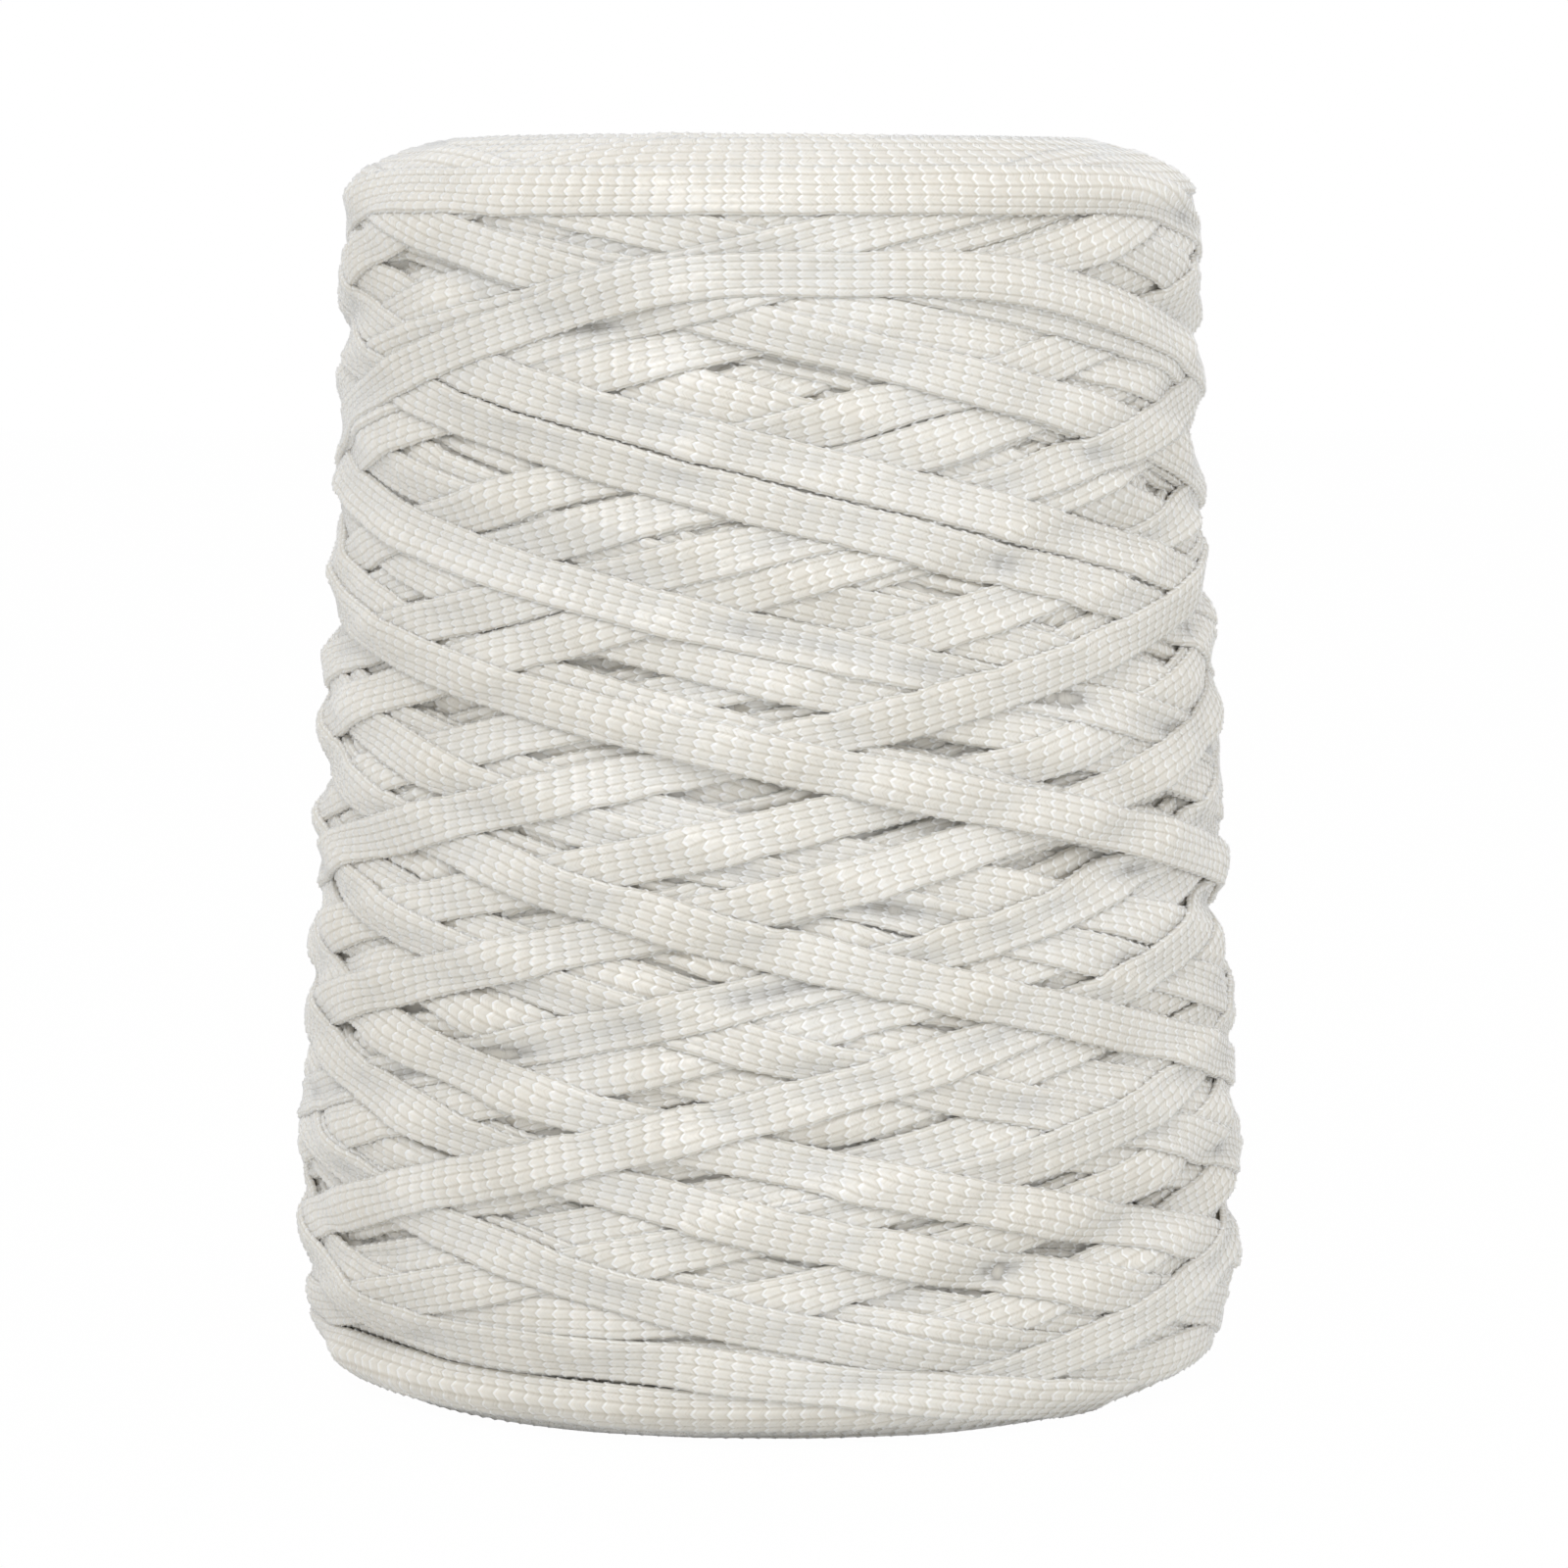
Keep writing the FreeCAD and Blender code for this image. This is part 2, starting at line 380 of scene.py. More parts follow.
@dataclass
class LaidCord:
    """The cord as it lies: for each step along it, the underside of each lane across it."""

    azimuth: Array
    height: Array
    radius: Array
    thickness: Array
    stroke: Array

    def points(self) -> Array:
        """Underside of each lane in x, y and z, in mm. The front is at azimuth 0, towards -Y."""
        turn = np.radians(self.azimuth)
        return np.stack([self.radius * np.sin(turn), -self.radius * np.cos(turn), self.height], -1)


@dataclass
class Progress:
    """Where the winding has got to: the cord's angle in degrees and its height in mm there, the
    lowest and highest place for an edge of cord, and how far the package stands over its goal.
    """

    angle: float
    height: float
    ends: Pair
    lack: Array

    def turn_at(self, way: int, half: float, inset: float) -> float:
        """Height at which a stroke turns, half its width and an inset in from the end it makes for."""
        return self.ends[1] - half - inset if way > 0 else self.ends[0] + half + inset


@dataclass
class Winder:
    """Lays the cord over the tube, stroke by stroke, on a map of the package's radius.

    Lengths are in mm and angles in degrees. The first strokes end in whole rings close to the
    tube's ends, and the last ones cross the front as the photograph's do.
    """

    cord: KnittedCord
    package: Package
    strokes: int = 190
    lanes: int = 9
    step: float = 0.75
    around: int = 720
    cell: float = 0.5
    floor: float = -4.0
    pulls: int = 26
    # how far a loop sinks into those under it
    bite: float = 0.14
    outer_bite: float = 0.42
    # how much of their height over and under the skin's mean the loops keep
    press: float = 0.6
    fill: float = 0.5
    flatten: float = 0.82
    # depth over the tube up to which the fit leaves the layers more and more as they lie
    held: float = 9.0
    usual_pitch: float = 72.0
    free_pitch: float = 71.0
    ring_turns: float = 22.0
    ring_gap: Pair = (300, 420)
    ring_inset: float = 1.0
    free_gap: Pair = (55, 150)
    free_tries: int = 26
    most_inset: float = 12.5
    front_half: float = 84.0
    front_gap: Pair = (45.0, 170.0)
    front_pitches: Pair = (62, 90)
    front_tries: int = 40
    plump_strokes: int = 10
    plump: Pair = (0.82, 1.0)
    squeezed: Pair = (0.3, 1.25)
    tension: float = 1.15
    overlap: int = 14
    starts: Pair = (8.0, 126.0)
    tucked: float = 1.8
    blend: int = 25
    under_skin: Pair = (0.95, 0.25)
    wanders: tuple[tuple[float, ...], ...] = ((0.30, 97.0, 1.3, 1510.0), (0.25, 41.0, 2.1, 873.0))
    seed: int = 11
    rng: np.random.Generator = field(init=False)
    heights: Array = field(init=False)
    map: Array = field(init=False)
    lane_at: Array = field(init=False)

    def __post_init__(self) -> None:
        """Starts the map as the bare tube."""
        self.rng = np.random.default_rng(self.seed)
        self.heights = np.arange(self.floor, self.package.height - self.floor, self.cell)
        self.map = np.full((len(self.heights), self.around), self.package.tube)
        self.lane_at = np.linspace(-LANE_SPAN / 2, LANE_SPAN / 2, self.lanes) * self.cord.width

    def sample(self, azimuth: Array, height: Array, surface: Array | None = None) -> Array:
        """Reads a map between its cells.

        Args:
            azimuth: angles in degrees.
            height: heights in mm.
            surface: the map to read, or the radius map.

        Returns:
            The map's values there.
        """
        cells = self.map if surface is None else surface
        x = (azimuth / 360 * self.around) % self.around
        y = np.clip((height - self.floor) / self.cell, 0, len(self.heights) - 1.001)
        x0, y0 = x.astype(int), y.astype(int)
        fx, fy = x - x0, y - y0
        x1 = (x0 + 1) % self.around
        x0 = x0 % self.around
        low = cells[y0, x0] * (1 - fx) + cells[y0, x1] * fx
        high = cells[y0 + 1, x0] * (1 - fx) + cells[y0 + 1, x1] * fx
        return low * (1 - fy) + high * fy

    def blur(self, surface: Array, round_cells: float, tall_cells: float) -> Array:
        """Smooths a map round the reel and along it, with no weight beyond its ends.

        Args:
            surface: the map.
            round_cells: reach round the reel, in cells.
            tall_cells: reach along the reel, in cells.

        Returns:
            The smoothed map.
        """
        waves = np.fft.rfft(surface, axis=1)
        fade = np.exp(-0.5 * (np.fft.rfftfreq(surface.shape[1]) * math.tau * round_cells) ** 2)
        smooth = np.fft.irfft(waves * fade, surface.shape[1], axis=1)
        reach = int(3 * tall_cells)
        weights = np.exp(-0.5 * (np.arange(-reach, reach + 1) / tall_cells) ** 2)
        inside = ((self.heights >= 0) & (self.heights <= self.package.height)).astype(float)
        total = np.zeros_like(smooth)
        count = np.zeros(len(self.heights))
        padded = np.pad(smooth * inside[:, None], ((reach, reach), (0, 0)))
        padded_inside = np.pad(inside, reach)
        for i, weight in enumerate(weights):
            total += weight * padded[i : i + len(self.heights)]
            count += weight * padded_inside[i : i + len(self.heights)]
        least = 0.05
        return np.where(count[:, None] > least, total / np.maximum(count, least)[:, None], smooth)

    def approach(self, angle: float, height: float, enter: float, way: int) -> tuple[float, float, float]:
        """Finds how a stroke gets from its turn to where it comes into the front.

        Args:
            angle: angle at the turn.
            height: height at the turn.
            enter: height at which it comes into the front.
            way: 1 going up and -1 going down.

        Returns:
            Its fault, the angle of the front, and the length of the turn in degrees.
        """
        best = (WORST, angle + 500.0, 90.0)
        rise = max((enter - height) * way, 0.6)
        for turns in range(4):
            front = math.ceil(angle / 360) * 360 + 360 * turns
            room = front - self.front_half - angle
            if room < 50:
                continue
            least, most = self.front_gap
            gap = min(max(room - rise / self.usual_pitch * 360, least), most)
            pitch = rise * 360 / (room - gap)
            fault = abs(math.log(pitch / self.usual_pitch)) + 0.1 * abs(gap - 100) / 100
            if (enter - height) * way < 0:
                fault += 1.5
            if fault < best[0]:
                best = (fault, float(front), gap)
        return best

    def fullness(self, now: Progress, knots: Route) -> float:
        """How full the package already is under a stroke: less is better."""
        turn = np.arange(now.angle, knots[-1][0] + 60, 6.0)
        angles, heights = zip((now.angle, now.height), *knots)
        rise = np.interp(turn, angles, heights)
        return float(np.mean(np.clip(self.sample(turn, rise, now.lack), -2.0, 6.0)))

    def free_stroke(self, now: Progress, way: int) -> Route:
        """Picks a stroke that fills the lowest places.

        Args:
            now: where the winding has got to.
            way: 1 going up and -1 going down.

        Returns:
            The stroke's corners as pairs of angle and height.
        """
        half = self.cord.width * 0.45
        first = now.angle < self.ring_turns * 360
        best: tuple[float, Route] = (WORST, [])
        for _ in range(self.free_tries):
            gap = self.rng.uniform(*(self.ring_gap if first else self.free_gap))
            pitch = self.rng.normal(self.free_pitch, 5)
            inset = self.rng.uniform(0, 1) ** 1.5 * (self.ring_inset if first else self.most_inset)
            turn_at = now.turn_at(way, half, inset)
            start = now.angle + gap
            knots = [(start, now.height), (start + abs(turn_at - now.height) / pitch * 360, turn_at)]
            cost = self.fullness(now, knots) + 0.02 * abs(pitch - self.free_pitch)
            if cost < best[0]:
                best = (cost, knots)
        return best[1]

    def front_stroke(self, now: Progress, this: Stroke, following: Stroke | None) -> Route:
        """Picks a stroke that crosses the front where it is asked to.

        Args:
            now: where the winding has got to.
            this: the stroke that is asked for.
            following: the stroke after it, if there is one.

        Returns:
            The stroke's corners as pairs of angle and height.
        """
        way = this.lay.value
        half = self.cord.width * 0.4
        enter = this.enter(self.front_half)
        leave = this.front + way * this.pitch * self.front_half / 360
        _, front, gap = self.approach(now.angle, now.height, enter, way)
        best: tuple[float, Route] = (WORST, [])
        for _ in range(self.front_tries):
            turn_at = now.turn_at(way, half, self.rng.uniform(0, self.most_inset))
            past = max((turn_at - leave) * way, 0.5)
            pitch = self.rng.uniform(*self.front_pitches)
            last = (front + self.front_half + past / pitch * 360, leave + way * past)
            across = [(front - self.front_half, enter), (front + self.front_half, leave)]
            knots = [(now.angle + gap, now.height), *across, last]
            ahead = 0.0
            if following is not None:
                ahead = self.approach(*last, following.enter(self.front_half), following.lay.value)[0]
            cost = self.fullness(now, knots) * 0.3 + ahead + abs(pitch - self.usual_pitch) / 144
            if cost < best[0]:
                best = (cost, knots)
        return best[1]

    def lay(
        self, azimuth: Array, height: Array, goal: Array, smooth: Array, last: bool, start: Array | None
    ) -> LaidCord:
        """Pulls one stretch of cord taut over the map.

        Args:
            azimuth: angle of each step, in degrees.
            height: height of each step.
            goal: radius that the package should have by now, for each row of the map.
            smooth: the smoothed map.
            last: whether this is one of the outer strokes, which stay plump.
            start: radius of each lane where the stretch before ended.

        Returns:
            The stretch of cord.
        """
        reach = np.interp(np.clip(height, 0, self.package.height), self.heights, goal)
        lean = np.arctan(np.interp(height, self.heights, np.gradient(goal, self.cell)))
        slope = np.gradient(height) / (math.radians(self.step) * reach)
        run = 1 / np.sqrt(1 + slope**2)
        side = self.lane_at[None, :]
        lane_azimuth = azimuth[:, None] - np.degrees(side * (slope * run / reach)[:, None])
        lane_height = height[:, None] + side * (run * np.cos(lean))[:, None]
        need = reach - self.sample(azimuth, height, smooth)
        squeeze = np.clip(0.92 + 0.5 * need, *(self.plump if last else self.squeezed))
        bed = self.sample(lane_azimuth, lane_height) - (self.outer_bite if last else self.bite)
        sag = (reach * math.radians(self.step) ** 2 / 2 * self.tension)[:, None]
        if start is not None:
            # the stretch goes on from the one before, and comes down to its bed in a few steps
            begin = np.clip(start, bed[0] - 1.0, bed[0] + 1.2)
            bed[0] = begin
            bed[1:8] = np.minimum(bed[1:8], begin + 0.12 * np.arange(1, 8)[:, None])
        radius = bed.copy()
        for _ in range(self.pulls):
            taut = np.empty_like(radius)
            taut[1:-1] = (radius[2:] + radius[:-2]) / 2 - sag[1:-1]
            taut[0], taut[-1] = radius[0], radius[-2]
            level = np.empty_like(radius)
            level[:, 1:-1] = (radius[:, :-2] + radius[:, 2:]) / 2
            for edge, one, two in ((0, 1, 2), (-1, -2, -3)):
                level[:, edge] = radius[:, one] + np.clip(radius[:, one] - radius[:, two], -0.2, 0.2)
            radius = np.maximum(bed, 0.8 * taut + 0.2 * level)
            if start is not None:
                radius[0] = bed[0]
        thickness = squeeze * self.cord.thickness
        return LaidCord(lane_azimuth, lane_height, radius, thickness, np.zeros(len(azimuth), int))

    def stamp(self, part: LaidCord, low: int, high: int) -> None:
        """Raises the map by a stretch of laid cord.

        Args:
            part: the stretch.
            low: its first step to use.
            high: the step after its last.
        """
        fine = np.linspace(-0.5, 0.5, 17)
        place = (fine * self.cord.width - self.lane_at[0]) / (self.lane_at[1] - self.lane_at[0])
        lane = np.clip(place.astype(int), 0, self.lanes - 2)
        share = np.clip(place - lane, -0.3, 1.3)
        crown = 0.45 + 0.55 * np.sqrt(np.clip(1 - (2 * np.abs(fine)) ** 4, 0, 1))
        azimuth, height, radius = (
            values[low:high, lane] * (1 - share) + values[low:high, lane + 1] * share
            for values in (part.azimuth, part.height, part.radius)
        )
        top = radius + part.thickness[low:high, None] * crown
        row = np.clip(np.rint((height - self.floor) / self.cell).astype(int), 0, len(self.heights) - 1)
        for shift in (0.0, 0.5):
            turn = (azimuth + shift * self.step) / 360 * self.around
            np.maximum.at(self.map, (row, np.rint(turn).astype(int) % self.around), top)

    def wind(self) -> LaidCord:
        """Winds the whole reel.

        Returns:
            The cord as it lies, before it is fitted to the package's outline.
        """
        guided = FRONT_STROKES[::-1]
        free = self.strokes - len(guided)
        way = guided[0].lay.value * (1 if free % 2 == 0 else -1)
        angle = 0.0
        height = self.starts[0] if way > 0 else self.starts[1]
        knots = [(angle, height)]
        laid_to = 0.0
        skin = self.package.radius(self.heights) - 0.4
        parts: list[LaidCord] = []
        waiting: tuple[LaidCord, int] | None = None
        smooth = self.map.copy()
        core = self.package.tube
        for number in range(self.strokes):
            share = (number + 1) / self.strokes
            goal = np.sqrt(core**2 + share * (skin**2 - core**2))
            if number % 2 == 0 or number > free - 16:
                smooth = self.blur(self.map, 6.0, 5.0)
            now = Progress(angle, height, self.package.ends(share), smooth - goal[:, None])
            if number < free:
                corners = self.free_stroke(now, way)
                way = -way
            else:
                index = number - free
                following = guided[index + 1] if index + 1 < len(guided) else None
                corners = self.front_stroke(now, guided[index], following)
            final = number == self.strokes - 1
            if final:
                # the end of the cord is tucked under the foot of the reel
                angle, height = corners[-1]
                corners = corners + [(angle + 40, height), (angle + 110, self.tucked)]
            knots += corners
            angle, height = corners[-1]
            turn = np.arange(laid_to, angle, self.step)
            rise = self.round_corners(turn, knots[-14:])
            start = parts[-1].radius[-1] if parts else None
            part = self.lay(turn, rise, goal, smooth, number >= free - self.plump_strokes, start)
            part.stroke[:] = number
            if waiting is not None:
                self.stamp(*waiting, len(waiting[0].stroke))
            keep = len(turn) if final else len(turn) - self.overlap
            self.stamp(part, 0, keep)
            waiting = (part, keep)
            parts.append(part)
            laid_to = turn[-1] + self.step
        names = ("azimuth", "height", "radius", "thickness", "stroke")
        joined = [np.concatenate([getattr(part, name) for part in parts]) for name in names]
        even = np.hanning(self.blend)[1:-1]
        joined[3] = np.convolve(np.pad(joined[3], len(even) // 2, "edge"), even / even.sum(), "valid")
        return LaidCord(*joined)

    def round_corners(self, turn: Array, knots: Route) -> Array:
        """Heights of a stretch of cord, with the corners of its route rounded and a slight wander.

        Args:
            turn: the angles, in degrees.
            knots: the route's corners.

        Returns:
            The height at each angle.
        """
        pad = 60.0
        raw_turn = np.arange(turn[0] - pad, turn[-1] + pad + 0.1, self.step)
        angles = [k[0] for k in knots] + [knots[-1][0] + pad]
        rises = [k[1] for k in knots] + [knots[-1][1]]
        raw = np.interp(raw_turn, angles, rises)
        window = np.hanning(int(44 / self.step) + 2)[1:-1]
        smooth = np.convolve(raw, window / window.sum(), "same")
        first = round(pad / self.step)
        wander = sum(
            size * np.sin(turn / far + sway * np.sin(turn / slow)) for size, far, sway, slow in self.wanders
        )
        return smooth[first : first + len(turn)] + wander

    def fit(self, cord: LaidCord) -> LaidCord:
        """Presses the package to its outline and keeps the lie of each loop on the next.

        Args:
            cord: the cord as it was laid.

        Returns:
            The fitted cord. The map is fitted too.
        """
        # the fit works on the cord's upper face, as the map does
        cord.radius = cord.radius + cord.thickness[:, None]
        skin = self.package.radius(self.heights)[:, None]
        self.scale_to(cord, self.blur(self.map, 13.0, 11.0), skin - self.under_skin[0])
        level = self.blur(self.map, 9.0, 6.0)
        cord.radius = self.soften(cord.radius, self.sample(cord.azimuth, cord.height, level))
        self.map = self.soften(self.map, level)
        # the outermost loops, which make the outline, come up to it last
        for tall, wide in ((6, 20), (4, 10)):
            seen = self.blur(self.highest(self.map, tall, wide), 6.0, 3.0)
            self.scale_to(cord, seen, skin - self.under_skin[1])
        # loops flatten where they press on one another
        cord.thickness = cord.thickness * self.flatten
        cord.radius = np.maximum(cord.radius - cord.thickness[:, None], self.package.tube - 0.05)
        return cord

    def scale_to(self, cord: LaidCord, seen: Array, goal: Array) -> None:
        """Scales the package's depth over the tube so that what is seen comes to its goal."""
        core = self.package.tube
        factor = np.clip((goal - core) / np.maximum(seen - core, 2.0), 0.75, 1.3)
        factor = self.blur(factor, 3.0, 2.0) - 1
        scale = self.sample(cord.azimuth, cord.height, factor)
        # the layers next to the tube stay on it
        cord.radius += (cord.radius - core) * scale * np.clip((cord.radius - core) / self.held, 0, 1)
        self.map += (self.map - core) * factor * np.clip((self.map - core) / self.held, 0, 1)

    @staticmethod
    def highest(surface: Array, tall: int, wide: int) -> Array:
        """Highest value within reach of each cell, along the reel and round it."""
        best = surface.copy()
        for step in range(1, tall + 1):
            best[step:] = np.maximum(best[step:], surface[:-step])
            best[:-step] = np.maximum(best[:-step], surface[step:])
        along = best.copy()
        for step in range(-wide, wide + 1):
            best = np.maximum(best, np.roll(along, step, 1))
        return best

    def soften(self, radius: Array, level: Array) -> Array:
        """Presses the loops near the skin into one another.

        Args:
            radius: where each place of the cord is.
            level: the package's mean radius there.

        Returns:
            The pressed radius.
        """
        over = radius - level
        near = np.clip(over, -9.0, 3.0)
        return level + near * np.where(near < 0, self.fill, self.press) + (over - near)


@dataclass
class Sight:
    """Finds which stitches show, from the side and from the two ends."""

    winder: Winder
    cord: LaidCord
    ring: float = 0.5
    reach: float = 60.0
    side_slack: float = 0.2
    end_slack: float = 0.4
    ends: dict[int, Array] = field(init=False)

    def __post_init__(self) -> None:
        """Maps the highest and the lowest cord over each cell of the two ends."""
        self.ends = {}
        shape = (self.winder.around, int(self.reach / self.ring))
        for way in (1, -1):
            cells = np.full(shape, EMPTY)
            for lift in (0.1, 0.9):
                at = self.cord.radius + lift * self.cord.thickness[:, None]
                turn, reach = self.cells(self.cord.azimuth, at)
                for beside in (turn, (turn + 1) % self.winder.around):
                    np.maximum.at(cells, (beside, reach), self.cord.height * way)
            self.ends[way] = cells

    def cells(self, azimuth: Array, radius: Array) -> tuple[Array, Array]:
        """Cell of an end map for each point."""
        turn = np.rint(azimuth / 360 * self.winder.around).astype(int) % self.winder.around
        reach = np.clip(np.rint(radius / self.ring).astype(int), 0, int(self.reach / self.ring) - 1)
        return turn, reach

    @staticmethod
    def lowest(cells: Array, tall: int, wide: int) -> Array:
        """Lowest value of each cell and those round it, where both axes wrap."""
        best = cells.copy()
        for i in range(-tall, tall + 1):
            for j in range(-wide, wide + 1):
                best = np.minimum(best, np.roll(cells, (i, j), (0, 1)))
        return best

    def lanes_shown(self) -> Array:
        """Whether each lane shows at each step along the cord."""
        top = self.cord.radius + self.cord.thickness[:, None]
        side = self.lowest(self.winder.map, 1, 1)
        shown = top > self.winder.sample(self.cord.azimuth, self.cord.height, side) - self.side_slack
        for way, cells in self.ends.items():
            low = self.lowest(cells, 1, 1)
            for lift in (0.2, 0.8):
                at = self.cord.radius + lift * self.cord.thickness[:, None]
                turn, reach = self.cells(self.cord.azimuth, at)
                shown |= self.cord.height * way > low[turn, reach] - self.end_slack
        return shown


@dataclass
class Knitter:
    """Turns laid cord to closed meshes, with stitches where they show and few faces where not."""

    cord: LaidCord
    size: KnittedCord
    shown: Array
    foot: float = 0.03
    groups: int = field(init=False)
    length: Array = field(init=False)
    bed: Array = field(init=False)
    normal: Array = field(init=False)
    lateral: Array = field(init=False)

    def __post_init__(self) -> None:
        """Works out the cord's own directions at each step."""
        self.groups = self.size.wales
        self.bed = self.cord.points()
        middle = self.bed[:, self.bed.shape[1] // 2]
        steps = np.linalg.norm(np.diff(middle, axis=0), axis=1)
        self.length = np.concatenate([[0.0], np.cumsum(steps)])
        self.lateral = np.gradient(self.bed, axis=1)
        self.lateral /= np.linalg.norm(self.lateral, axis=2, keepdims=True)
        self.normal = np.cross(np.gradient(self.bed, axis=0), self.lateral)
        self.normal /= np.linalg.norm(self.normal, axis=2, keepdims=True)

    def column_places(self) -> tuple[Array, Array]:
        """Where each column is across the cord in mm, and how high it stands on its stitch."""
        half = self.groups / 2
        columns = (np.arange(self.groups)[:, None] + np.array(self.size.column_at)[None, :]).ravel()
        places = np.append((columns - half) * self.size.wale, half * self.size.wale)
        rise = np.append(np.tile(self.size.column_rise, self.groups), self.size.column_rise[0])
        return places, rise

    def course_flags(self) -> Array:
        """Whether each group of columns shows, for each course of stitches."""
        count = int(self.length[-1] / self.size.course) - 1
        course = np.clip((self.length / self.size.course).astype(int), 0, count - 1)
        lanes = np.zeros((count, self.shown.shape[1]), bool)
        np.logical_or.at(lanes, course, self.shown)
        # the first lane over each group of columns, and the one after its last
        spans = ((0, 2), (0, 3), (2, 4), (3, 6), (5, 7), (6, 9), (7, 9))
        groups = np.stack([lanes[:, first:after].any(1) for first, after in spans], 1)
        groups[1:] |= groups[:-1] & lanes[1:].any(1)[:, None]
        # a stitch or two between stitches that show is kept too
        before = groups[1:-3] | groups[:-4]
        after = groups[3:-1] | groups[4:]
        groups[2:-2] |= before & after
        return groups

    def chains(self, flags: Array, whole_from: int) -> list[Array]:
        """Splits the cord into stretches to be built, as lists of stations counted in courses.

        Args:
            flags: which groups show at each course.
            whole_from: the course from which the cord is kept whole.

        Returns:
            The stations of each stretch.
        """
        any_shown = flags.any(1)
        keep = any_shown.copy()
        for step in range(1, 4):
            keep[step:] |= any_shown[:-step]
            keep[:-step] |= any_shown[step:]
        keep[whole_from:] = True
        edges = np.flatnonzero(np.diff(np.concatenate([[0], keep.astype(int), [0]])))
        found = []
        for first, last in edges.reshape(-1, 2):
            stations = [first]
            while stations[-1] < last:
                here = stations[-1]
                far = min(here + 4, last)
                stations.append(far if not any_shown[here:far].any() else here + 1)
            found.append(np.array(stations))
        return found

    def place(self, along: Array, column: Array, rise: Array) -> tuple[Array, Array]:
        """Puts stitch points on the cord.

        Args:
            along: length along the cord, in mm, before the stitch's own point is added.
            column: the column of each point.
            rise: how high the row stands on its stitch, from 0 to 1.

        Returns:
            The points in mm, and for each its place along, its place across, and its height.
        """
        places, column_rise = self.column_places()
        across = places[column]
        within = np.abs(((across / self.size.wale + self.groups / 2) % 1.0) - 0.5) * 2
        ahead = along + self.size.course * self.size.apex * within
        step = np.interp(ahead, self.length, np.arange(len(self.length)))
        low = np.clip(step.astype(int), 0, len(self.length) - 2)
        part = (step - low)[:, None]
        thick = np.interp(step, np.arange(len(self.length)), self.cord.thickness)
        half = thick / 2
        flat = self.size.width / 2 - half
        beyond = np.clip((np.abs(across) - flat) / half, 0.0, 2.75)
        side = np.where(beyond > 0, np.sign(across) * (flat + half * np.sin(beyond)), across)
        lift = half * np.where(beyond > 0, np.cos(beyond), 1.0)
        lanes = self.bed.shape[1]
        lane_at = (side / self.size.width / LANE_SPAN + 0.5) * (lanes - 1)
        lane = np.clip(lane_at.astype(int), 0, lanes - 2)
        over = (lane_at - lane)[:, None]

        def read(values: Array) -> Array:
            """Values of the cord between its steps and its lanes."""
            first = values[low, lane] * (1 - over) + values[low, lane + 1] * over
            second = values[low + 1, lane] * (1 - over) + values[low + 1, lane + 1] * over
            return first * (1 - part) + second * part

        bed = read(self.bed)
        normal = read(self.normal)
        lateral = read(self.lateral)
        outward = normal * np.cos(beyond)[:, None] + lateral * (np.sign(across) * np.sin(beyond))[:, None]
        height = rise * column_rise[column]
        stand = self.size.relief * (height - 0.6)
        points = bed + normal * (half + lift)[:, None] + outward * stand[:, None]
        # the foot of the reel is pressed flat where it stands
        points[:, 2] = np.maximum(points[:, 2], self.foot)
        return points, np.stack([along, across, height], 1)

    def build(self, chains: list[Array], flags: Array) -> tuple[Array, Array, Array, Array]:
        """Builds one closed mesh from several stretches of cord.

        Args:
            chains: the stations of each stretch, counted in courses.
            flags: which groups show at each course.

        Returns:
            Vertices in mm, stitch values, the faces' corner indices, and each face's corner count.
        """
        rows_per = len(self.size.row_at)
        per = len(self.size.column_at)
        parts: list[tuple[Array, ...]] = []
        caps: list[tuple[int, int]] = []
        total = 0
        for stations in chains:
            blocks = len(stations) - 1
            begin = total + np.arange(blocks) * rows_per
            single = (np.diff(stations) == 1)[:, None]
            parts.append((
                begin,
                np.append(begin[1:], total + blocks * rows_per),
                flags[np.minimum(stations[:-1], len(flags) - 1)] & single,
                np.append(np.repeat(stations[:-1], rows_per), stations[-1]),
                np.append(np.tile(np.arange(rows_per), blocks), 0),
            ))
            caps.append((total, total + blocks * rows_per))
            total += blocks * rows_per + 1
        start, final, shown, course, phase = (np.concatenate(each) for each in zip(*parts))
        # columns of vertices from one edge over the top to the other
        columns = self.groups * per + 1
        active = np.zeros((total, columns), bool)
        stations_rows = np.unique(np.concatenate([start, final]))
        active[stations_rows[:, None], np.arange(0, columns, per)[None, :]] = True
        for group in range(self.groups):
            seen = shown[:, group]
            span = slice(per * group, per * group + per + 1)
            active[final[seen], span] = True
            for k in range(rows_per):
                active[start[seen] + k, span] = True
        ids = np.full(active.shape, -1, np.int64)
        row, column = np.nonzero(active)
        ids[row, column] = np.arange(len(row))
        along = (course[row] + np.array(self.size.row_at)[phase[row]]) * self.size.course
        points, stitch = self.place(along, column, np.array(self.size.row_rise)[phase[row]])

        corners: list[Array] = []
        counts: list[Array] = []

        def add(loop: Array) -> None:
            """Adds faces from rows of corner numbers, leaving out the corners that aren't there."""
            there = loop >= 0
            corners.append(loop[there])
            counts.append(there.sum(1))

        for group in range(self.groups):
            first = per * group
            seen = shown[:, group]
            for k in range(rows_per):
                this = start[seen] + k
                after = this + 1 if k < rows_per - 1 else final[seen]
                for j in range(first, first + per):
                    add(np.stack([ids[this, j], ids[after, j], ids[after, j + 1], ids[this, j + 1]], 1))
            add(self.outline(ids, start[~seen], final[~seen], list(range(first, first + per + 1)), rows_per))
        add(self.outline(ids, start, final, [columns - 1, 0], rows_per))
        for first_row, last_row in caps:
            add(ids[first_row][None, :])
            add(ids[last_row][None, ::-1])
        return points, stitch, np.concatenate(corners), np.concatenate(counts)

